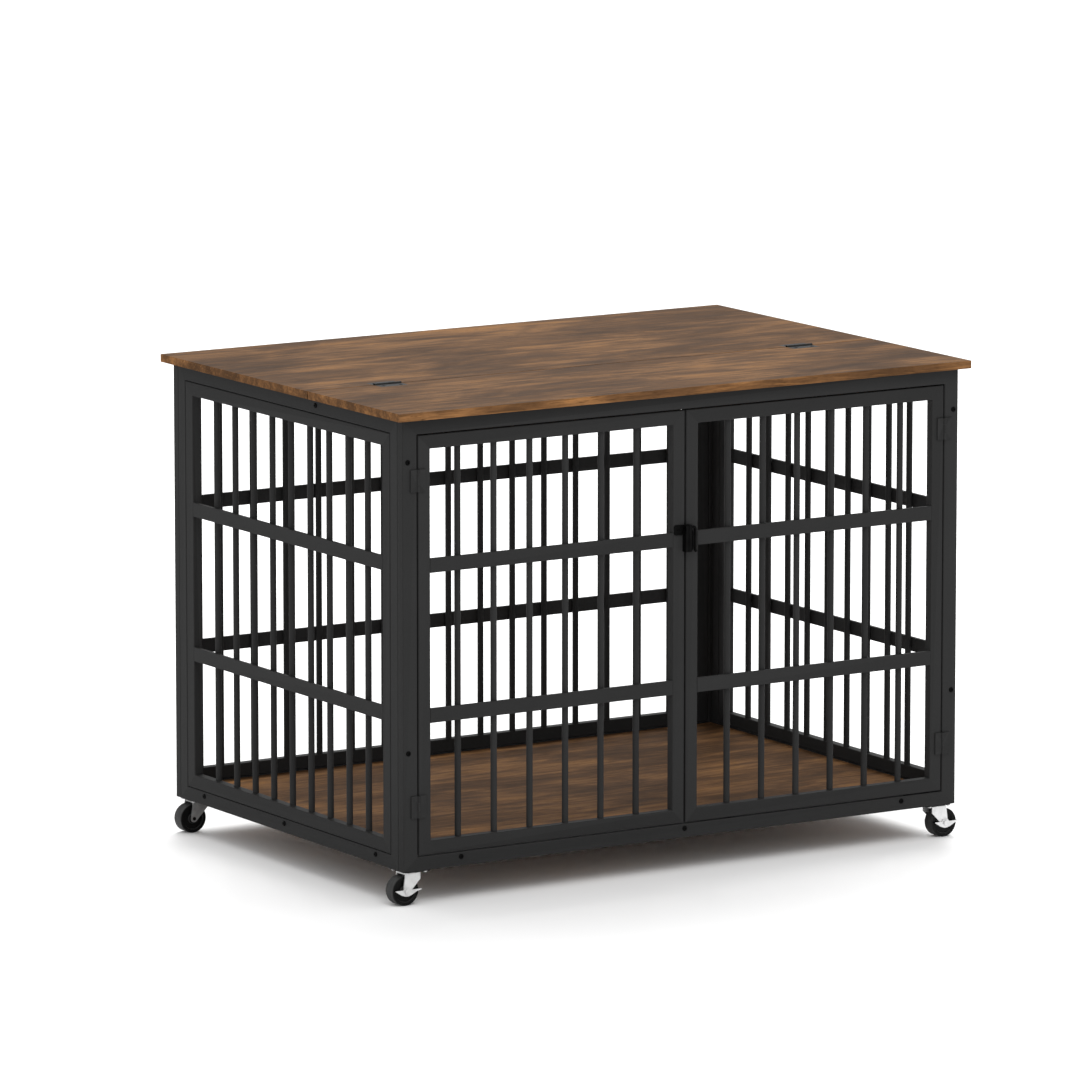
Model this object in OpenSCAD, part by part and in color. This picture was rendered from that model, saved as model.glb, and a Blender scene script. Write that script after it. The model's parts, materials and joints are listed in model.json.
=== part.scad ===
// Furniture-style dog crate: a steel bar cage with a wooden floor and a two-piece wooden top,
// two front doors and four swivel casters, the front two with a brake.
// Frame: origin on the floor under the centre of the crate, +X to the crate's right as seen
// from the front, +Y to the back, +Z up.

/* [Cage] */
// Width over the steel frame
frame_w = 1070; // [800:10:1300]
// Depth over the steel frame
frame_d = 738; // [600:2:900]
// Height of the steel frame, without casters and top
frame_h = 733; // [640:1:900]
// Depth of the tubes that the front and back frames and the doors are made of
tube_t = 16; // [14:1:20]
// Wall of every tube
tube_wall = 1.2; // [0.8:0.1:2]
// Radius of the tubes' corners
tube_r = 1.5; // [1:0.5:3]
// Width of the front frame's posts
front_post_w = 26.75; // [24:0.25:32]
// Width of the back frame's posts
back_post_w = 21; // [16:1:28]
// Width of the side frames' posts
side_post_w = 23; // [18:1:28]
// Height of the top tubes of all four frames
top_tube_h = 25; // [20:1:30]
// Height of the bottom tubes of all four frames
bottom_tube_h = 23; // [20:1:30]

/* [Grilles] */
// Gap between a panel and the frame that it is screwed into
panel_gap = 1; // [0.5:0.1:2]
// Height of the top and bottom tubes of the panels and doors
panel_tube_h = 22.5; // [18:0.5:28]
// Width of the side panels' upright tubes
side_stile_w = 23.5; // [20:0.5:28]
// Width of the back panel's upright tubes
back_stile_w = 22.5; // [20:0.5:28]
// Height of the flat cross rails
rail_h = 23.5; // [18:0.5:30]
// Thickness of the flat cross rails
rail_t = 5.5; // [3:0.5:8]
// Height of the middle of the lower cross rails above the ground
lower_rail_z = 308.5; // [250:0.5:360]
// Height of the middle of the upper cross rails above the ground
upper_rail_z = 552; // [500:0.5:620]
// Diameter of the grille bars
bar_d = 10.5; // [8:0.5:12]
// Number of bars in a side panel
side_bars = 9; // [7:1:10]
// Spacing of the bars in a side panel
side_bar_pitch = 60.8; // [55:0.1:62]
// Number of bars in the back panel
back_bars = 15; // [11:1:15]
// Spacing of the bars in the back panel
back_bar_pitch = 63.6; // [58:0.1:64]
// How far the back panel's row of bars sits to the left of the middle
back_bar_shift = 9; // [0:1:20]

/* [Doors] */
// Gap between a door and the front frame
door_gap = 2.2; // [1.8:0.1:3]
// Gap between the two doors
middle_gap = 3; // [2:0.1:5]
// Width of the doors' upright tubes
door_stile_w = 22.5; // [20:0.5:28]
// Number of bars in a door
door_bars = 6; // [4:1:6]
// Spacing of the bars in a door
door_bar_pitch = 67.7; // [60:0.1:68]
// How far a door's row of bars sits towards its hinges
door_bar_shift = 3.6; // [0:0.1:6]
// Height of the middle of the lower door hinges above the ground
lower_hinge_z = 162.7; // [150:0.1:220]
// Height of the middle of the upper door hinges above the ground
upper_hinge_z = 691.4; // [640:0.1:700]
// Length of a door hinge
door_hinge_l = 36; // [30:1:60]
// Width of one leaf of a door hinge
door_leaf_w = 14; // [12:0.5:20]
// Thickness of a leaf of a door hinge
door_leaf_t = 2.5; // [2:0.1:3]

/* [Boards] */
// Width of the top
top_w = 1100; // [830:10:1330]
// Depth of the top
top_d = 770; // [640:2:940]
// Thickness of the top
top_t = 13; // [10:0.5:20]
// Depth of the front board of the top, up to the middle of the seam
flap_d = 288; // [200:1:340]
// Width of the seam between the two boards of the top
seam_gap = 3; // [2:0.5:4]
// Thickness of the floor board
floor_t = 12.5; // [9:0.5:15]
// Gap between the floor board and the frames around it
floor_gap = 0.5; // [0.3:0.1:2]
// Height of the cross beam under the seam
beam_h = 23; // [18:1:25]
// Width of the cross beam under the seam
beam_w = 20; // [16:1:30]
// Distance of the flap hinges from the middle of the top
flap_hinge_x = 400; // [250:10:430]

/* [Latch] */
// Height of the middle of the latch above the ground
latch_z = 554; // [500:1:620]
// Height of the latch
latch_h = 44; // [36:1:60]
// Diameter of the latch bolt
bolt_d = 5; // [4:0.5:6]
// Travel of the latch bolt
bolt_travel = 6; // [4:0.5:7]

/* [Casters] */
// Height of a caster from the ground to its mounting face
caster_h = 57.5; // [56:0.5:70]
// Diameter of a caster wheel
wheel_d = 48.5; // [40:0.5:50]
// Width of a caster wheel
wheel_w = 23; // [16:1:26]
// Distance of a wheel's axle from the middle of the crate, sideways
caster_axle_x = 523; // [380:0.5:640]
// Distance of a caster from the middle of the crate, front to back
caster_y = 344; // [270:1:430]
// Distance from a caster's swivel axis to its axle
caster_trail = 13; // [12:1:24]

/* [Hidden] */
$fn = 48;

charcoal = [0.2, 0.2, 0.21];
black_metal = [0.06, 0.06, 0.06];
brown_wood = [0.42, 0.28, 0.18];
zinc = [0.72, 0.73, 0.74];
dark_zinc = [0.33, 0.33, 0.34];
black_nylon = [0.05, 0.05, 0.05];

// a saw cut's width between welded pieces, which keeps each tube a solid of its own
weld = 0.02;

frame_bottom = caster_h;
frame_top = frame_bottom + frame_h;
front_y = -frame_d / 2;
back_y = frame_d / 2;
side_x = frame_w / 2;
side_frame_l = frame_d - 2 * tube_t;
opening_bottom = frame_bottom + bottom_tube_h;
opening_h = frame_h - bottom_tube_h - top_tube_h;
rail_zs = [lower_rail_z, upper_rail_z];

side_panel_w = side_frame_l - 2 * side_post_w - 2 * panel_gap;
back_panel_w = frame_w - 2 * back_post_w - 2 * panel_gap;
panel_h = opening_h - 2 * panel_gap;
door_w = frame_w / 2 - front_post_w - door_gap - middle_gap / 2;
door_h = opening_h - 2 * door_gap;
door_middle_x = (middle_gap + door_w) / 2;

hinge_x = side_x - front_post_w - door_gap / 2;
hinge_y = front_y - door_leaf_t;
door_barrel_r = 2.3;
door_pin_r = 1.2;
flap_leaf_t = 1.5;
flap_leaf_w = 24;
flap_hinge_l = 50;
flap_barrel_r = 3;
flap_pin_r = 1.5;
pin_clearance = 0.05;
knuckle_gap = 0.3;

seam_y = -top_d / 2 + flap_d;
top_z = frame_top + top_t;
floor_top = opening_bottom - 1.2;
floor_mid_z = floor_top - floor_t / 2;

screw_head_r = 4.2;
screw_head_h = 2.2;
screw_r = 2.5;
post_bolt_x = side_x - 9.5;
post_bolt_zs = [251, 722];
post_bolt_l = 52;
floor_screw_l = 36;
floor_screw_xs = [-427, 0, 427];
floor_screw_ys = [-282, 10, 274];
beam_mid_z = frame_top - beam_h / 2;

axle_z = wheel_d / 2;
swivel_x = caster_axle_x - caster_trail;
plate_t = 2;
plate_l = 50;
plate_inset = 4;
plate_z = frame_bottom - plate_t;
race_gap = 0.3;
race_h = 2.2;
race_r = 12.5;
fork_t = 1.8;
fork_top_z = plate_z - race_gap - race_h;
fork_inner_w = wheel_w + 2;
fork_w = fork_inner_w + 2 * fork_t;
fork_back = 13;
fork_front = caster_trail + 2;
king_r = 4;
axle_r = 2.5;
brake_t = 1.5;
brake_gap = 0.4;
brake_w = fork_w + 2 * (brake_gap + brake_t);

// ---- shared shapes ----

// outline of a rectangle from the origin, with rounded corners
function round_rect(w, h, r, steps = 3) = [
    for (corner = [[w - r, h - r, 0], [r, h - r, 90], [r, r, 180], [w - r, r, 270]])
        for (i = [0:steps])
            [corner[0] + r * cos(corner[2] + 90 * i / steps),
             corner[1] + r * sin(corner[2] + 90 * i / steps)]
];

// a length of square tube along Z, its section w by d from the origin
module tube(w, d, length) {
    linear_extrude(length) difference() {
        polygon(round_rect(w, d, tube_r));
        translate([tube_wall, tube_wall]) square([w - 2 * tube_wall, d - 2 * tube_wall]);
    }
}

// four mitred tubes round a rectangle in the XZ plane, w by h from the origin, tube_t deep in +Y
module tube_frame(w, h, post_w, bottom_h, top_h) {
    post = [[0, weld], [post_w, bottom_h + weld], [post_w, h - top_h - weld], [0, h - weld]];
    bottom = [[weld, 0], [w - weld, 0], [w - post_w - weld, bottom_h], [post_w + weld, bottom_h]];
    top = [[weld, h], [w - weld, h], [w - post_w - weld, h - top_h], [post_w + weld, h - top_h]];
    for (side = [0, 1])
        translate([side * w, 0, 0]) mirror([side, 0, 0])
            mitred(post) tube(post_w, tube_t, h);
    mitred(bottom) translate([0, tube_t, 0]) rotate([90, 0, 90])
        mirror([1, 0, 0]) tube(tube_t, bottom_h, w);
    mitred(top) translate([0, tube_t, h - top_h]) rotate([90, 0, 90])
        mirror([1, 0, 0]) tube(tube_t, top_h, w);
}

// keeps what of its child lies inside an outline in the XZ plane
module mitred(outline) {
    intersection() {
        children();
        translate([0, tube_t + 1, 0]) rotate([90, 0, 0]) linear_extrude(tube_t + 2) polygon(outline);
    }
}

// places its child's XZ plane on a face of the cage: its origin at the middle, +Y going inwards
module on_front() { translate([0, front_y, 0]) children(); }
module on_back() { translate([0, back_y, 0]) rotate([0, 0, 180]) children(); }
module on_left() { translate([-side_x, 0, 0]) rotate([0, 0, -90]) children(); }
module on_right() { translate([side_x, 0, 0]) rotate([0, 0, 90]) children(); }

// one of the four frames of the cage, w wide
module cage_frame(w, post_w) {
    color(charcoal) translate([-w / 2, 0, frame_bottom])
        tube_frame(w, frame_h, post_w, bottom_tube_h, top_tube_h);
}

// the tubes round a grille w wide and h high
module grille_frame(w, h, stile_w) {
    color(charcoal) translate([-w / 2, 0, opening_bottom + (opening_h - h) / 2])
        tube_frame(w, h, stile_w, panel_tube_h, panel_tube_h);
}

// the two flat cross rails of a grille w wide, on the side that faces out
module grille_rails(w, stile_w) {
    length = w - 2 * stile_w;
    color(charcoal) for (z = rail_zs)
        translate([-length / 2, 0, z - rail_h / 2]) cube([length, rail_t, rail_h]);
}

// the upright bars of a grille h high, behind its cross rails; they are round tubes
module grille_bars(h, count, pitch) {
    length = h - 2 * panel_tube_h;
    bottom = opening_bottom + (opening_h - length) / 2;
    color(charcoal) for (i = [0:count - 1])
        translate([(i - (count - 1) / 2) * pitch, rail_t + bar_d / 2, bottom]) difference() {
            cylinder(d = bar_d, h = length);
            // nothing runs in a bar's hollow, so it is cut with flats
            translate([0, 0, -1]) cylinder(d = bar_d - 2 * tube_wall, h = length + 2, $fn = 12);
        }
}

// a pan-head screw along +Z, its head below the XY plane
module screw(length, r = screw_r, head_r = screw_head_r, head_h = screw_head_h) {
    color(black_metal) {
        difference() {
            rotate_extrude() polygon([
                [0, -head_h], [head_r * 0.7, -head_h], [head_r, -head_h * 0.45], [head_r, 0], [0, 0]
            ]);
            translate([0, 0, -head_h - 1]) cylinder(r = head_r * 0.4, h = 1 + head_h * 0.6, $fn = 6);
        }
        cylinder(r = r, h = length);
    }
}

// one leaf of a butt hinge. The pivot is the Z axis; the leaf runs in +X and is t thick in +Y.
// The leaf with two knuckles holds the pin, the leaf with one turns on it.
module hinge_leaf(length, leaf_w, t, barrel_r, pin_r, two_knuckles) {
    end_l = length * 0.3;
    middle_l = length - 2 * end_l - 2 * knuckle_gap;
    spans = two_knuckles ? [[0, end_l], [length - end_l, end_l]] : [[end_l + knuckle_gap, middle_l]];
    bore_r = two_knuckles ? pin_r : pin_r + pin_clearance;
    color(charcoal) translate([0, 0, -length / 2]) difference() {
        union() {
            translate([barrel_r + knuckle_gap, 0, 0])
                cube([leaf_w - barrel_r - knuckle_gap, t, length]);
            for (span = spans) translate([0, 0, span[0]]) {
                cylinder(r = barrel_r, h = span[1]);
                cube([barrel_r + 1, min(t, barrel_r), span[1]]);
            }
        }
        translate([0, 0, -1]) cylinder(r = bore_r, h = length + 2);
    }
}

module hinge_pin(length, pin_r) {
    color(black_metal) translate([0, 0, -length / 2]) cylinder(r = pin_r, h = length);
}

// ---- cage ----

module front_frame() { on_front() cage_frame(frame_w, front_post_w); }
module back_frame() { on_back() cage_frame(frame_w, back_post_w); }
module left_side_frame() { on_left() cage_frame(side_frame_l, side_post_w); }
module right_side_frame() { on_right() cage_frame(side_frame_l, side_post_w); }

module back_panel_frame() { on_back() grille_frame(back_panel_w, panel_h, back_stile_w); }
module back_panel_rails() { on_back() grille_rails(back_panel_w, back_stile_w); }
module back_panel_bars() {
    on_back() translate([back_bar_shift, 0, 0]) grille_bars(panel_h, back_bars, back_bar_pitch);
}

module left_panel_frame() { on_left() grille_frame(side_panel_w, panel_h, side_stile_w); }
module left_panel_rails() { on_left() grille_rails(side_panel_w, side_stile_w); }
module left_panel_bars() { on_left() grille_bars(panel_h, side_bars, side_bar_pitch); }

module right_panel_frame() { on_right() grille_frame(side_panel_w, panel_h, side_stile_w); }
module right_panel_rails() { on_right() grille_rails(side_panel_w, side_stile_w); }
module right_panel_bars() { on_right() grille_bars(panel_h, side_bars, side_bar_pitch); }

// screws through the front and back posts into the side frames
module frame_bolts() {
    for (x = [-post_bolt_x, post_bolt_x], z = post_bolt_zs) {
        translate([x, front_y, z]) rotate([-90, 0, 0]) screw(post_bolt_l);
        translate([x, back_y, z]) rotate([90, 0, 0]) screw(post_bolt_l);
    }
}

// ---- floor and top ----

module floor_board() {
    w = frame_w - 2 * tube_t - 2 * floor_gap;
    d = side_frame_l - 2 * floor_gap;
    color(brown_wood) translate([-w / 2, -d / 2, floor_top - floor_t]) cube([w, d, floor_t]);
}

// screws through the bottom tubes into the edges of the floor board
module floor_screws() {
    for (x = floor_screw_xs) {
        translate([x, front_y, floor_mid_z]) rotate([-90, 0, 0]) screw(floor_screw_l);
        translate([x, back_y, floor_mid_z]) rotate([90, 0, 0]) screw(floor_screw_l);
    }
    for (y = floor_screw_ys) {
        translate([-side_x, y, floor_mid_z]) rotate([0, 90, 0]) screw(floor_screw_l);
        translate([side_x, y, floor_mid_z]) rotate([0, -90, 0]) screw(floor_screw_l);
    }
}

// the tube under the seam of the top, between the two side frames
module top_cross_beam() {
    length = frame_w - 2 * tube_t - 2 * weld;
    color(charcoal) translate([-length / 2, seam_y - beam_w / 2, frame_top - beam_h])
        rotate([90, 0, 90]) tube(beam_w, beam_h, length);
}

module beam_screws() {
    for (side = [-1, 1])
        translate([side * side_x, seam_y, beam_mid_z]) rotate([0, -side * 90, 0]) screw(floor_screw_l);
}

// the pockets that let the flap hinges into the top
module hinge_pockets() {
    pocket_w = 2 * (flap_leaf_w + knuckle_gap);
    slot_w = 2 * (flap_barrel_r + knuckle_gap);
    length = flap_hinge_l + 2 * knuckle_gap;
    for (x = [-flap_hinge_x, flap_hinge_x]) translate([x - length / 2, seam_y, top_z]) {
        translate([0, -pocket_w / 2, -flap_leaf_t]) cube([length, pocket_w, flap_leaf_t + 1]);
        translate([0, -slot_w / 2, -flap_barrel_r - knuckle_gap])
            cube([length, slot_w, flap_barrel_r + knuckle_gap + 1]);
    }
}

module rear_top_board() {
    d = top_d - flap_d - seam_gap / 2;
    color(brown_wood) difference() {
        translate([-top_w / 2, seam_y + seam_gap / 2, frame_top]) cube([top_w, d, top_t]);
        hinge_pockets();
    }
}

module front_top_board() {
    d = flap_d - seam_gap / 2;
    color(brown_wood) difference() {
        translate([-top_w / 2, -top_d / 2, frame_top]) cube([top_w, d, top_t]);
        hinge_pockets();
    }
}

// screws up through the panels' and frames' top tubes into the rear board, between the bars
module top_board_screws() {
    head_z = frame_top - top_tube_h - panel_tube_h;
    length = top_tube_h + panel_tube_h + 9;
    for (side = [-1, 1], y = [40, 300])
        translate([side * (side_x - tube_t / 2), y, head_z]) screw(length);
    for (gap = [-6, 0, 5])
        translate([(gap + 0.5) * back_bar_pitch - back_bar_shift, back_y - tube_t / 2, head_z])
            screw(length);
}

// places its child at each flap hinge: its Z axis along the pivot, its X axis to the front or back
module at_flap_hinges(to_front) {
    for (x = [-flap_hinge_x, flap_hinge_x])
        translate([x, seam_y, top_z]) mirror([0, to_front ? 1 : 0, 0])
            rotate([-90, 0, 0]) rotate([0, -90, 0]) children();
}

module flap_hinge_rear_leaves() {
    at_flap_hinges(false)
        hinge_leaf(flap_hinge_l, flap_leaf_w, flap_leaf_t, flap_barrel_r, flap_pin_r, true);
}

module flap_hinge_front_leaves() {
    at_flap_hinges(true)
        hinge_leaf(flap_hinge_l, flap_leaf_w, flap_leaf_t, flap_barrel_r, flap_pin_r, false);
}

module flap_hinge_pins() {
    at_flap_hinges(false) hinge_pin(flap_hinge_l, flap_pin_r);
}

// countersunk screws of the flap hinges' leaves, flush with the top
module leaf_screws(side) {
    head_r = 3.2;
    shank_r = 1.5;
    length = 10;
    color(black_metal)
        for (x = [-flap_hinge_x, flap_hinge_x], dx = [-16, 16])
            translate([x + dx, seam_y + side * 15, top_z - length]) {
                cylinder(r = shank_r, h = length - head_r + shank_r);
                translate([0, 0, length - head_r + shank_r])
                    cylinder(r1 = shank_r, r2 = head_r, h = head_r - shank_r);
            }
}

module rear_leaf_screws() { leaf_screws(1); }
module front_leaf_screws() { leaf_screws(-1); }

// ---- doors ----

// draws its child as the right-hand door, or mirrored as the left-hand one
module door_side(side) { mirror([side < 0 ? 1 : 0, 0, 0]) children(); }

module door_frame(side) {
    door_side(side) on_front() translate([door_middle_x, 0, 0])
        grille_frame(door_w, door_h, door_stile_w);
}

module door_rails(side) {
    door_side(side) on_front() translate([door_middle_x, 0, 0]) grille_rails(door_w, door_stile_w);
}

module door_bar_row(side) {
    door_side(side) on_front() translate([door_middle_x + door_bar_shift, 0, 0])
        grille_bars(door_h, door_bars, door_bar_pitch);
}

// the hinges of a door: with frame_leaf the leaves on the post, else the leaves on the door
module door_hinges(side, frame_leaf) {
    door_side(side) for (z = [lower_hinge_z, upper_hinge_z])
        translate([hinge_x, hinge_y, z]) mirror([frame_leaf ? 0 : 1, 0, 0])
            hinge_leaf(door_hinge_l, door_leaf_w, door_leaf_t, door_barrel_r, door_pin_r, frame_leaf);
}

module left_door_frame() { door_frame(-1); }
module left_door_rails() { door_rails(-1); }
module left_door_bars() { door_bar_row(-1); }
module left_hinge_frame_leaves() { door_hinges(-1, true); }
module left_hinge_door_leaves() { door_hinges(-1, false); }

module right_door_frame() { door_frame(1); }
module right_door_rails() { door_rails(1); }
module right_door_bars() { door_bar_row(1); }
module right_hinge_frame_leaves() { door_hinges(1, true); }
module right_hinge_door_leaves() { door_hinges(1, false); }

module door_hinge_pins() {
    for (x = [-hinge_x, hinge_x], z = [lower_hinge_z, upper_hinge_z])
        translate([x, hinge_y, z]) hinge_pin(door_hinge_l, door_pin_r);
}

// ---- latch ----

latch_block_d = 11;
latch_plate_t = 2;
guide_w = 5.5;
keeper_w = 5;
tab_w = 17;
tab_h = 16.5;
latch_edge = 0.5;
bolt_y = front_y - 6;
bolt_z = latch_z + latch_h / 2 - bolt_d / 2 - 2;
bolt_bore_r = bolt_d / 2 + pin_clearance;
handle_x = latch_edge + guide_w + bolt_travel + bolt_d / 2 + 0.5;
latch_screw_r = 1.5;
latch_screw_head_r = 2.6;
latch_screw_head_h = 1;

// a latch piece: an upright block beside the middle gap, and a tab screwed to the stile
module latch_piece(block_w, tab_length, tab_z, tab_height) {
    translate([latch_edge, front_y - latch_block_d, latch_z - latch_h / 2])
        cube([block_w, latch_block_d, latch_h]);
    translate([latch_edge, front_y, tab_z]) rotate([90, 0, 0]) linear_extrude(latch_plate_t)
        polygon(round_rect(tab_length, tab_height, 3.5, 4));
}

// the guide on the right door that the bolt slides in
module latch_guide() {
    color(black_metal) difference() {
        latch_piece(guide_w, guide_w + 8, latch_z - latch_h / 2, latch_h - 10);
        translate([-1, bolt_y, bolt_z]) rotate([0, 90, 0]) cylinder(r = bolt_bore_r, h = guide_w + 3);
    }
}

module guide_screws() {
    for (z = [latch_z - latch_h / 2 + 6, latch_z + 4])
        translate([latch_edge + guide_w + 4, front_y - latch_plate_t, z]) rotate([-90, 0, 0])
            screw(8, latch_screw_r, latch_screw_head_r, latch_screw_head_h);
}

// the keeper on the left door, with a window that the bolt goes into
module latch_keeper() {
    tab_z = latch_z + latch_h / 2 - tab_h;
    window = bolt_d + 0.8;
    color(black_metal) mirror([1, 0, 0]) difference() {
        latch_piece(keeper_w, tab_w + keeper_w, tab_z, tab_h);
        translate([-1, bolt_y - window / 2, bolt_z - window / 2]) cube([keeper_w + 3, window, window]);
    }
}

module keeper_screws() {
    tab_mid_z = latch_z + latch_h / 2 - tab_h / 2;
    for (x = [9, 17])
        translate([-latch_edge - x, front_y - latch_plate_t, tab_mid_z]) rotate([-90, 0, 0])
            screw(8, latch_screw_r, latch_screw_head_r, latch_screw_head_h);
}

// the bolt: a round rod through the guide, bent down into a handle that hangs beside it
module latch_bolt() {
    bend_r = 3;
    leg_l = latch_h - bolt_d / 2 - 0.8 - bend_r;
    foot = 4;
    color(black_metal) translate([0, bolt_y, bolt_z]) {
        translate([latch_edge + 0.5, 0, 0]) rotate([0, 90, 0])
            cylinder(d = bolt_d, h = handle_x - bend_r - latch_edge - 0.5);
        translate([handle_x - bend_r, 0, -bend_r]) rotate([90, 0, 0])
            rotate_extrude(angle = 90) translate([bend_r, 0]) circle(d = bolt_d);
        translate([handle_x, 0, -bend_r - leg_l + foot]) cylinder(d = bolt_d, h = leg_l - foot);
        translate([handle_x, 0, -bend_r - leg_l + foot]) rotate([0, 150, 0])
            cylinder(d = bolt_d, h = foot);
        translate([handle_x, 0, -bend_r - leg_l + foot]) sphere(d = bolt_d);
    }
}

// ---- casters ----

// places its child at a caster's swivel axis on the ground: +X towards the caster's wheel
module at_caster(side, end) {
    translate([side * swivel_x, end * caster_y, 0]) mirror([side < 0 ? 1 : 0, 0, 0]) children();
}

// mounting plates under the corners of the cage
module caster_plates() {
    color(charcoal) for (side = [-1, 1], end = [-1, 1])
        translate([side * (side_x - plate_inset), end * (back_y - plate_inset), plate_z])
            mirror([side > 0 ? 1 : 0, 0, 0]) mirror([0, end > 0 ? 1 : 0, 0])
                linear_extrude(plate_t) polygon(round_rect(plate_l, plate_l, 5, 4));
}

// screws up through the mounting plates into the front, back and side frames
module caster_screws() {
    edge = tube_t / 2;
    far = plate_l - 5;
    for (side = [-1, 1], end = [-1, 1])
        for (at = [[edge, edge], [far, edge], [edge, far]])
            translate([side * (side_x - at[0]), end * (back_y - at[1]), plate_z])
                screw(10, 1.8, 3.4, screw_head_h);
}

// the rivet that a fork turns on
module king_pins() {
    head_r = 6;
    head_h = 2;
    head_top = fork_top_z - fork_t - race_gap;
    color(dark_zinc) for (side = [-1, 1], end = [-1, 1]) at_caster(side, end)
        translate([0, 0, head_top - head_h]) {
            cylinder(r = head_r, h = head_h);
            cylinder(r = king_r, h = plate_z - head_top + head_h);
        }
}

// one cheek of a fork, in the XZ plane with the swivel axis at X = 0
module fork_cheek() {
    foot_r = 6;
    difference() {
        union() {
            cylinder_y(caster_trail, axle_z, foot_r, fork_t);
            rotate([90, 0, 0]) linear_extrude(fork_t) polygon([
                [-fork_back, fork_top_z], [fork_front, fork_top_z], [caster_trail + foot_r, axle_z],
                [caster_trail - foot_r * 0.6, axle_z - foot_r * 0.8], [-fork_back, fork_top_z - 10.5]
            ]);
        }
        translate([0, 1, 0]) cylinder_y(caster_trail, axle_z, axle_r, fork_t + 2);
    }
}

// a cylinder along -Y from the XZ plane
module cylinder_y(x, z, r, length) {
    translate([x, 0, z]) rotate([90, 0, 0]) cylinder(r = r, h = length);
}

// a caster's fork: a round swivel seat, a crown and two cheeks
module fork(side, end, tint) {
    color(tint) at_caster(side, end) difference() {
        union() {
            translate([0, 0, fork_top_z]) cylinder(r = race_r, h = race_h);
            translate([-fork_back, -fork_w / 2, fork_top_z - fork_t])
                cube([fork_back + fork_front, fork_w, fork_t]);
            translate([0, -fork_inner_w / 2, 0]) fork_cheek();
            translate([0, fork_w / 2, 0]) fork_cheek();
        }
        translate([0, 0, fork_top_z - fork_t - 1])
            cylinder(r = king_r + pin_clearance, h = fork_t + race_h + 2);
    }
}

// an axle with a round head at each end: long and broad-headed where it carries a brake
module axle(side, end, braked, tint) {
    half_l = braked ? brake_w / 2 + brake_gap : fork_w / 2;
    head_h = braked ? 2 : 0.8;
    head_r = axle_r + (braked ? 1.6 : 0.4);
    color(tint) at_caster(side, end) {
        translate([0, half_l + head_h, 0]) cylinder_y(caster_trail, axle_z, axle_r, 2 * (half_l + head_h));
        translate([0, half_l + head_h, 0]) cylinder_y(caster_trail, axle_z, head_r, head_h);
        translate([0, -half_l, 0]) cylinder_y(caster_trail, axle_z, head_r, head_h);
    }
}

// a moulded wheel with a crowned tread and dished sides
module wheel(side, end) {
    half = wheel_w / 2;
    rim_r = axle_z - 5.5;
    hub_r = 8;
    dish = 3;
    crown = 0.6;
    color(black_nylon) at_caster(side, end) translate([caster_trail, 0, axle_z]) rotate([90, 0, 0])
        rotate_extrude() polygon([
            [axle_r + pin_clearance, -half - 0.5], [hub_r, -half - 0.5], [hub_r + 1, -half + dish],
            [rim_r - 1, -half + dish], [rim_r, -half], [axle_z - crown, -half],
            [axle_z, -half + 2.5 * crown], [axle_z, half - 2.5 * crown], [axle_z - crown, half],
            [rim_r, half], [rim_r - 1, half - dish], [hub_r + 1, half - dish],
            [hub_r, half + 0.5], [axle_r + pin_clearance, half + 0.5]
        ]);
}

// a brake rocker on the axle: on each side a boat-shaped plate with a boss for the axle, and a
// pedal across their ends on the crate's right
module brake(side, end) {
    pedal_x = axle_z + 0.5;
    pedal_l = 2.2;
    deck = 2.5;
    deck_t = 1.6;
    boat = [
        [pedal_x + pedal_l, deck], [pedal_x + pedal_l, deck - deck_t], [19, deck - 2 * deck_t],
        [9, -6], [3, -8], [-3, -8], [-10, -5.5], [-21, deck - 1], [-21, deck],
        [-7, deck], [-4.5, 6], [4.5, 6], [7, deck]
    ];
    color(zinc) translate([side * caster_axle_x, end * caster_y, axle_z]) difference() {
        union() {
            for (y = [-brake_w / 2 + brake_t, brake_w / 2])
                translate([0, y, 0]) rotate([90, 0, 0]) linear_extrude(brake_t) polygon(boat);
            translate([pedal_x, -brake_w / 2, deck - deck_t]) cube([pedal_l, brake_w, deck_t]);
        }
        translate([0, brake_w / 2 + 1, 0]) cylinder_y(0, 0, axle_r + pin_clearance, brake_w + 2);
    }
}

module fork_front_left() { fork(-1, -1, zinc); }
module axle_front_left() { axle(-1, -1, true, zinc); }
module wheel_front_left() { wheel(-1, -1); }
module brake_front_left() { brake(-1, -1); }
module fork_front_right() { fork(1, -1, zinc); }
module axle_front_right() { axle(1, -1, true, zinc); }
module wheel_front_right() { wheel(1, -1); }
module brake_front_right() { brake(1, -1); }
module fork_rear_left() { fork(-1, 1, dark_zinc); }
module axle_rear_left() { axle(-1, 1, false, black_metal); }
module wheel_rear_left() { wheel(-1, 1); }
module fork_rear_right() { fork(1, 1, dark_zinc); }
module axle_rear_right() { axle(1, 1, false, black_metal); }
module wheel_rear_right() { wheel(1, 1); }

front_frame();
back_frame();
left_side_frame();
right_side_frame();
back_panel_frame();
back_panel_rails();
back_panel_bars();
left_panel_frame();
left_panel_rails();
left_panel_bars();
right_panel_frame();
right_panel_rails();
right_panel_bars();
frame_bolts();
floor_board();
floor_screws();
top_cross_beam();
beam_screws();
rear_top_board();
top_board_screws();
flap_hinge_rear_leaves();
flap_hinge_pins();
rear_leaf_screws();
front_top_board();
flap_hinge_front_leaves();
front_leaf_screws();
left_hinge_frame_leaves();
right_hinge_frame_leaves();
door_hinge_pins();
left_door_frame();
left_door_rails();
left_door_bars();
left_hinge_door_leaves();
latch_keeper();
keeper_screws();
right_door_frame();
right_door_rails();
right_door_bars();
right_hinge_door_leaves();
latch_guide();
guide_screws();
latch_bolt();
caster_plates();
caster_screws();
king_pins();
fork_front_left();
axle_front_left();
wheel_front_left();
brake_front_left();
fork_front_right();
axle_front_right();
wheel_front_right();
brake_front_right();
fork_rear_left();
axle_rear_left();
wheel_rear_left();
fork_rear_right();
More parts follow.
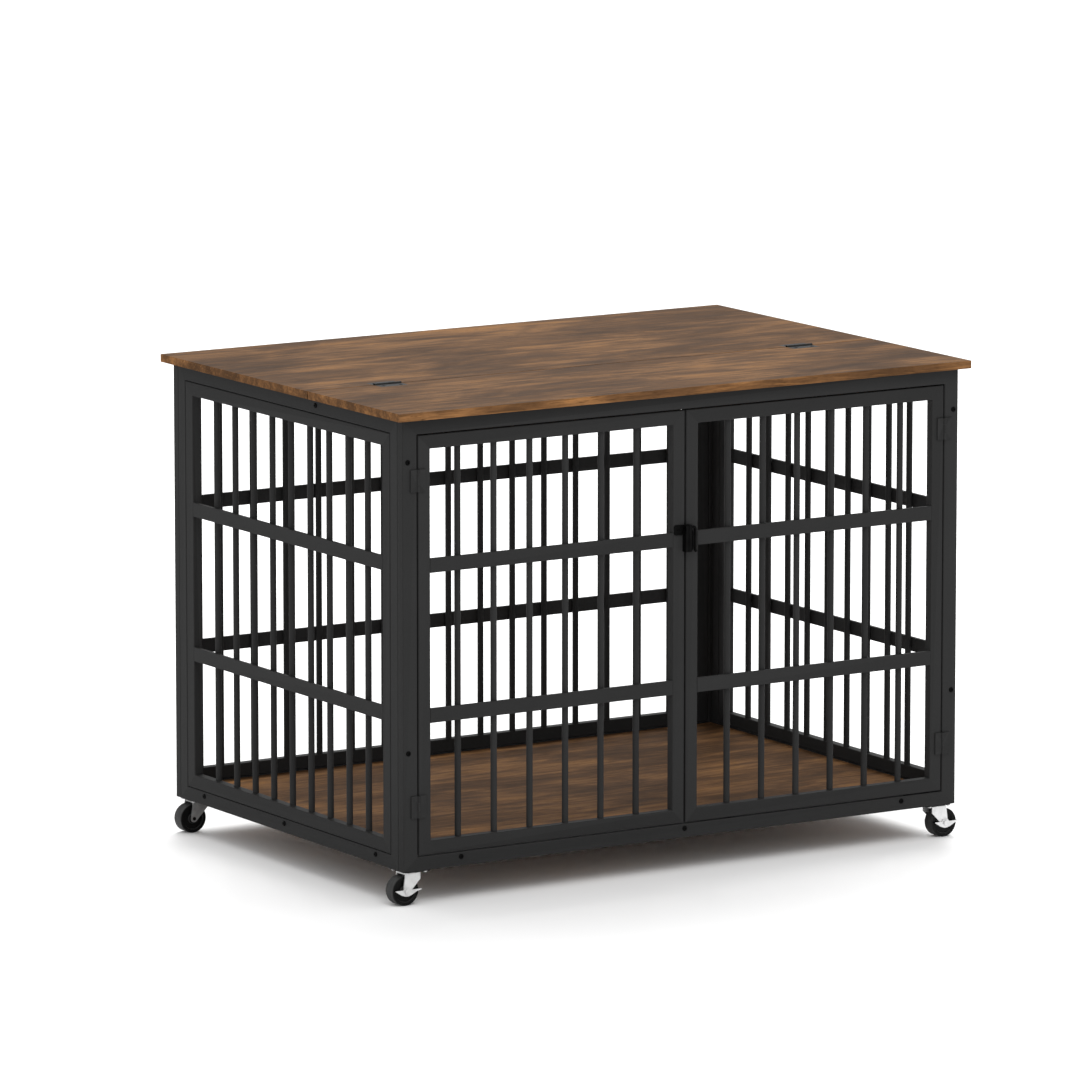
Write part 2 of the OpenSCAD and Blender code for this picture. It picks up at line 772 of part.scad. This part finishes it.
axle_rear_right();
wheel_rear_right();
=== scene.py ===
import json
import math

import bpy
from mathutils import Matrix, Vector

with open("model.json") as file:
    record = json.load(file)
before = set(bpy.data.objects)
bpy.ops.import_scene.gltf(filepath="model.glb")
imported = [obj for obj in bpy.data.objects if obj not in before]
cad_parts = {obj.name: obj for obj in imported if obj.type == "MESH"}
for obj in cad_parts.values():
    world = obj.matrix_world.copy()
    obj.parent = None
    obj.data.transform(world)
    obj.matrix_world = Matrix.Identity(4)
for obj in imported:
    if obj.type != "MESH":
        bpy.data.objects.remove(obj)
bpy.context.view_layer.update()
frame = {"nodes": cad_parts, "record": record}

# ---- camera ----

CAMERA_LENS = 289.97
CAMERA_AT = (-7.5459, -12.0670, 2.9202)
CAMERA_AZIMUTH = -31.853
CAMERA_ELEVATION = 9.663

cam_data = bpy.data.cameras.new("camera")
cam_data.lens = CAMERA_LENS
cam_data.sensor_width = 36.0
cam_data.clip_end = 100.0
cam = bpy.data.objects.new("camera", cam_data)
cam.location = CAMERA_AT
cam.rotation_euler = (math.radians(90 - CAMERA_ELEVATION), 0.0, math.radians(CAMERA_AZIMUTH))
bpy.context.scene.collection.objects.link(cam)
bpy.context.scene.camera = cam


# ---- node helpers ----

def grey(value):
    return (value, value, value)


class Mat:
    """Builds one procedural material, a node at a time."""

    def __init__(self, name):
        self.mat = bpy.data.materials.new(name)
        self.mat.use_nodes = True
        self.tree = self.mat.node_tree
        self.tree.nodes.clear()
        self.out = self.tree.nodes.new("ShaderNodeOutputMaterial")
        self.bsdf = self.tree.nodes.new("ShaderNodeBsdfPrincipled")
        self.link(self.bsdf.outputs[0], self.out.inputs[0])

    def link(self, a, b):
        self.tree.links.new(a, b)

    def put(self, socket, value):
        if isinstance(value, bpy.types.NodeSocket):
            self.link(value, socket)
        else:
            socket.default_value = value

    def node(self, kind, props=None, **inputs):
        n = self.tree.nodes.new(kind)
        for key, value in (props or {}).items():
            setattr(n, key, value)
        for key, value in inputs.items():
            self.put(n.inputs[key.replace("_", " ")], value)
        return n

    def coords(self, scale=(1, 1, 1), location=(0, 0, 0)):
        tc = self.node("ShaderNodeTexCoord")
        m = self.node("ShaderNodeMapping")
        self.link(tc.outputs["Object"], m.inputs["Vector"])
        m.inputs["Scale"].default_value = scale
        m.inputs["Location"].default_value = location
        return m.outputs[0]

    def noise(self, vector, scale, detail=4.0, rough=0.5, distortion=0.0):
        n = self.node("ShaderNodeTexNoise", Vector=vector, Scale=scale, Detail=detail,
                      Roughness=rough, Distortion=distortion)
        return n.outputs[0]

    def ramp(self, fac, stops):
        n = self.node("ShaderNodeValToRGB")
        el = n.color_ramp.elements
        while len(el) < len(stops):
            el.new(0.5)
        for e, (pos, col) in zip(el, stops):
            e.position = pos
            e.color = (*(col if isinstance(col, tuple) else grey(col)), 1.0)
        self.link(fac, n.inputs[0])
        return n.outputs[0]

    def mix(self, fac, a, b, blend="MIX"):
        n = self.node("ShaderNodeMix", {"data_type": "RGBA", "blend_type": blend})
        self.put(n.inputs[0], fac)
        for socket, value in ((n.inputs[6], a), (n.inputs[7], b)):
            self.put(socket, (*value, 1.0) if isinstance(value, tuple) else value)
        return n.outputs[2]

    def math(self, op, a, b=0.0, clamp=False):
        n = self.node("ShaderNodeMath", {"operation": op, "use_clamp": clamp})
        self.put(n.inputs[0], a)
        self.put(n.inputs[1], b)
        return n.outputs[0]

    def bump(self, height, strength, distance, normal=None):
        n = self.node("ShaderNodeBump", Height=height, Strength=strength, Distance=distance)
        if normal is not None:
            self.link(normal, n.inputs["Normal"])
        return n.outputs[0]

    def set(self, **inputs):
        for key, value in inputs.items():
            self.put(self.bsdf.inputs[key.replace("_", " ")], value)
        return self.mat


# ---- materials ----

# The speculars are far below those of real coats: with more, the top and side faces washed out at
# the photo's low angle.
PAINT_SPECULAR = 0.025
WOOD_SPECULAR = 0.012
HARDWARE_SPECULAR = 0.03
NYLON_SPECULAR = 0.08
ZINC_METALLIC = 0.75
WOOD_TONES = ((0.038, 0.021, 0.011), (0.063, 0.033, 0.016), (0.096, 0.049, 0.022),
              (0.150, 0.077, 0.033), (0.225, 0.110, 0.040))
# gain for the boards' side faces: painted light that makes them lighter, plus a slightly warmer edge
# tone
EDGE_LIGHT_AND_TONE_GAIN = (1.60, 1.52, 1.42)
FLOOR_SHADE = 1.15


def powder_coat(name, base, light, rough):
    """Fine-textured powder coat: a slight mottle in shade and gloss over an orange-peel bump."""
    m = Mat(name)
    at = m.coords()
    broad = m.noise(at, 6.0, 3.0, 0.55)
    grain = m.noise(at, 900.0, 2.0, 0.6)
    # each welded piece took the powder a little differently
    piece = m.node("ShaderNodeNewGeometry").outputs["Random Per Island"]
    tone = m.math("ADD", m.math("MULTIPLY", broad, 0.5), m.math("MULTIPLY", piece, 0.5))
    col = m.mix(m.ramp(tone, [(0.15, 0.0), (0.75, 1.0)]), base, light)
    col = m.mix(m.ramp(grain, [(0.60, 0.0), (0.75, 0.5)]), col, tuple(1.6 * c for c in light))
    rgh = m.math("ADD", m.math("MULTIPLY", broad, 0.12), rough - 0.06)
    peel = m.noise(at, 420.0, 2.0, 0.5)
    n = m.bump(peel, 0.22, 0.0006)
    n = m.bump(grain, 0.18, 0.0003, n)
    return m.set(Base_Color=col, Roughness=rgh, Normal=n, Specular_IOR_Level=PAINT_SPECULAR)


def rustic_wood(name, offset, shade=1.0):
    """Rustic brown board, its grain along X: smoky patches, ragged streaks, fine lines and pores."""
    m = Mat(name)
    dark, deep, mid, lit, orange = [tuple(shade * v for v in tone) for tone in WOOD_TONES]
    wander = m.noise(m.coords((1.1, 3.2, 3.2), location=offset), 1.0, 3.0, 0.55)
    push = m.node("ShaderNodeCombineXYZ", Y=m.math("MULTIPLY", wander, 0.08),
                  Z=m.math("MULTIPLY", wander, 0.08))
    warp = m.node("ShaderNodeVectorMath", {"operation": "ADD"})
    m.link(m.coords(location=offset), warp.inputs[0])
    m.link(push.outputs[0], warp.inputs[1])

    def along(sx, sy):
        n = m.node("ShaderNodeMapping", Vector=warp.outputs[0])
        n.inputs["Scale"].default_value = (sx, sy, sy)
        return n.outputs[0]

    smoke = m.noise(along(3.6, 9.0), 1.0, 6.0, 0.60, 0.5)
    streak = m.noise(along(6.0, 55.0), 1.0, 6.0, 0.66, 0.12)
    line = m.noise(along(8.0, 260.0), 1.0, 4.0, 0.62)
    pore = m.noise(along(26.0, 900.0), 1.0, 2.0, 0.5)
    tone = m.math("ADD", m.math("MULTIPLY", smoke, 0.62), m.math("MULTIPLY", streak, 0.38))
    col = m.ramp(tone, [(0.37, dark), (0.44, deep), (0.50, mid), (0.56, lit), (0.64, orange)])
    col = m.mix(m.ramp(streak, [(0.34, 0.45), (0.46, 0.0)]), col, deep)
    col = m.mix(m.ramp(line, [(0.36, 0.50), (0.50, 0.0)]), col, dark)
    col = m.mix(m.ramp(line, [(0.56, 0.0), (0.72, 0.45)]), col, orange)
    col = m.mix(m.ramp(pore, [(0.30, 0.70), (0.40, 0.0)]), col, tuple(0.5 * c for c in dark))
    # a short knot here and there
    cells = m.node("ShaderNodeTexVoronoi", {"feature": "F1"}, Vector=along(3.4, 11.0), Scale=1.0,
                   Randomness=1.0)
    col = m.mix(m.ramp(cells.outputs["Distance"], [(0.05, 0.55), (0.16, 0.0)]), col, dark)
    # the side faces of the board are multiplied lighter and a little warmer: painted light on the
    # edges, plus a warmer tone of the edge itself
    geo = m.node("ShaderNodeNewGeometry")
    split = m.node("ShaderNodeSeparateXYZ", Vector=geo.outputs["Normal"])
    edge_light_mask = m.math("SUBTRACT", 1.0, m.math("ABSOLUTE", split.outputs["Z"]), clamp=True)
    col = m.mix(edge_light_mask, col, EDGE_LIGHT_AND_TONE_GAIN, "MULTIPLY")
    rgh = m.math("ADD", m.math("MULTIPLY", streak, 0.20), 0.45)
    n = m.bump(streak, 0.20, 0.0012)
    n = m.bump(line, 0.25, 0.0006, n)
    return m.set(Base_Color=col, Roughness=rgh, Normal=n, Specular_IOR_Level=WOOD_SPECULAR)


def zinc_plate(name, base, spangle, rough):
    """Zinc plate: faint clouding, fine rolling lines and dulled patches."""
    m = Mat(name)
    at = m.coords()
    cloud = m.noise(at, 90.0, 3.0, 0.6)
    fine = m.noise(m.coords(scale=(1, 1, 14)), 260.0, 3.0, 0.6)
    col = m.mix(m.ramp(cloud, [(0.35, 0.0), (0.65, 1.0)]), base, spangle)
    rgh = m.math("ADD", m.math("MULTIPLY", cloud, 0.25), rough - 0.1)
    return m.set(Base_Color=col, Metallic=ZINC_METALLIC, Roughness=rgh,
                 Normal=m.bump(fine, 0.12, 0.0002))


def black_steel(name, base, lit, rough):
    """Blackened steel: a fine even texture, scuffed a little lighter."""
    m = Mat(name)
    at = m.coords()
    wear = m.noise(at, 60.0, 4.0, 0.6)
    grain = m.noise(at, 300.0, 2.0, 0.5)
    col = m.mix(m.ramp(wear, [(0.40, 0.0), (0.70, 1.0)]), base, lit)
    rgh = m.math("ADD", m.math("MULTIPLY", wear, 0.2), rough - 0.1)
    return m.set(Base_Color=col, Roughness=rgh, Normal=m.bump(grain, 0.15, 0.0004),
                 Specular_IOR_Level=HARDWARE_SPECULAR)


def wheel_nylon():
    """Black nylon: a scuffed, dusty grey tread and glossier dark sides."""
    m = Mat("wheel_nylon")
    at = m.coords()
    scuff = m.noise(m.coords(scale=(1, 3, 1)), 70.0, 5.0, 0.65)
    grain = m.noise(at, 500.0, 2.0, 0.5)
    # sides face along Y and the tread doesn't
    geo = m.node("ShaderNodeNewGeometry")
    split = m.node("ShaderNodeSeparateXYZ", Vector=geo.outputs["Normal"])
    tread = m.math("SUBTRACT", 1.0, m.math("ABSOLUTE", split.outputs["Y"]), clamp=True)
    dust = m.math("MULTIPLY", tread, m.ramp(scuff, [(0.3, 0.45), (0.7, 1.0)]))
    col = m.mix(dust, grey(0.004), grey(0.055))
    rgh = m.math("ADD", m.math("MULTIPLY", tread, 0.30), 0.28)
    return m.set(Base_Color=col, Roughness=rgh, Normal=m.bump(grain, 0.12, 0.0003),
                 Specular_IOR_Level=NYLON_SPECULAR)


MATERIALS = {
    "frame_paint": powder_coat("charcoal_powder_coat", grey(0.0210), grey(0.0275), 0.50),
    "black_hardware": black_steel("black_hardware", grey(0.002), grey(0.004), 0.50),
    "floor_wood": rustic_wood("floor_wood", (3.1, 1.7, 0.0), FLOOR_SHADE),
    "caster_zinc": zinc_plate("caster_zinc", grey(0.60), grey(0.72), 0.40),
    "caster_steel_dark": zinc_plate("caster_steel_dark", grey(0.24), grey(0.32), 0.50),
    "wheel_nylon": wheel_nylon(),
}
FRONT_WOOD = rustic_wood("front_board_wood", (0.0, 0.0, 0.0))
REAR_WOOD = rustic_wood("rear_board_wood", (7.3, 4.1, 0.0))

slot_of = {s["node"]: s["material_slot"] for s in frame["record"]["subparts"]}

for name, obj in frame["nodes"].items():
    if name == "front_top_board":
        mat = FRONT_WOOD
    elif name == "rear_top_board":
        mat = REAR_WOOD
    else:
        mat = MATERIALS[slot_of[name]]
    for slot in obj.material_slots:
        slot.material = mat
    if not obj.material_slots:
        obj.data.materials.append(mat)


# ---- floor and light ----

LIGHT_TARGET = (0, 0, 0.4)
SUN_FROM = (2.2, 3.2, 5.0)
STAGE_EDGE = 30
STAGE_BACK = 60
WORLD_STRENGTH = 0.9


def stage_mesh(name, verts, faces, mat):
    me = bpy.data.meshes.new(name)
    me.from_pydata(verts, [], faces)
    me.materials.append(mat)
    ob = bpy.data.objects.new(name, me)
    bpy.context.scene.collection.objects.link(ob)


floor_mat = Mat("studio_floor").set(Base_Color=(0.95, 0.95, 0.95, 1.0), Roughness=0.85)
stage_mesh("floor", [(-STAGE_EDGE, -STAGE_EDGE, 0), (STAGE_EDGE, -STAGE_EDGE, 0),
                     (STAGE_EDGE, STAGE_BACK, 0), (-STAGE_EDGE, STAGE_BACK, 0)],
           [(0, 1, 2, 3)], floor_mat)


def area(name, loc, size, power):
    """A square soft light aimed at the middle of the crate."""
    ld = bpy.data.lights.new(name, "AREA")
    ld.shape = "RECTANGLE"
    ld.size = size
    ld.size_y = size
    ld.energy = power
    ob = bpy.data.objects.new(name, ld)
    ob.location = loc
    ob.rotation_euler = (Vector(LIGHT_TARGET) - Vector(loc)).to_track_quat("-Z", "Y").to_euler()
    bpy.context.scene.collection.objects.link(ob)


area("key", (2.2, 3.2, 4.6), 3.2, 150)
area("front", (-1.2, -4.0, 5.0), 3.0, 110)

sun = bpy.data.lights.new("sky", "SUN")
sun.energy = 1.3
sun.angle = math.radians(45)
sun_ob = bpy.data.objects.new("sky", sun)
sun_ob.rotation_euler = Vector(SUN_FROM).to_track_quat("Z", "Y").to_euler()
bpy.context.scene.collection.objects.link(sun_ob)

world = bpy.data.worlds.new("studio")
world.use_nodes = True
bg = world.node_tree.nodes["Background"]
bg.inputs[0].default_value = (1.0, 1.0, 1.0, 1.0)
bg.inputs[1].default_value = WORLD_STRENGTH
bpy.context.scene.world = world
bpy.context.scene.view_settings.view_transform = "Standard"
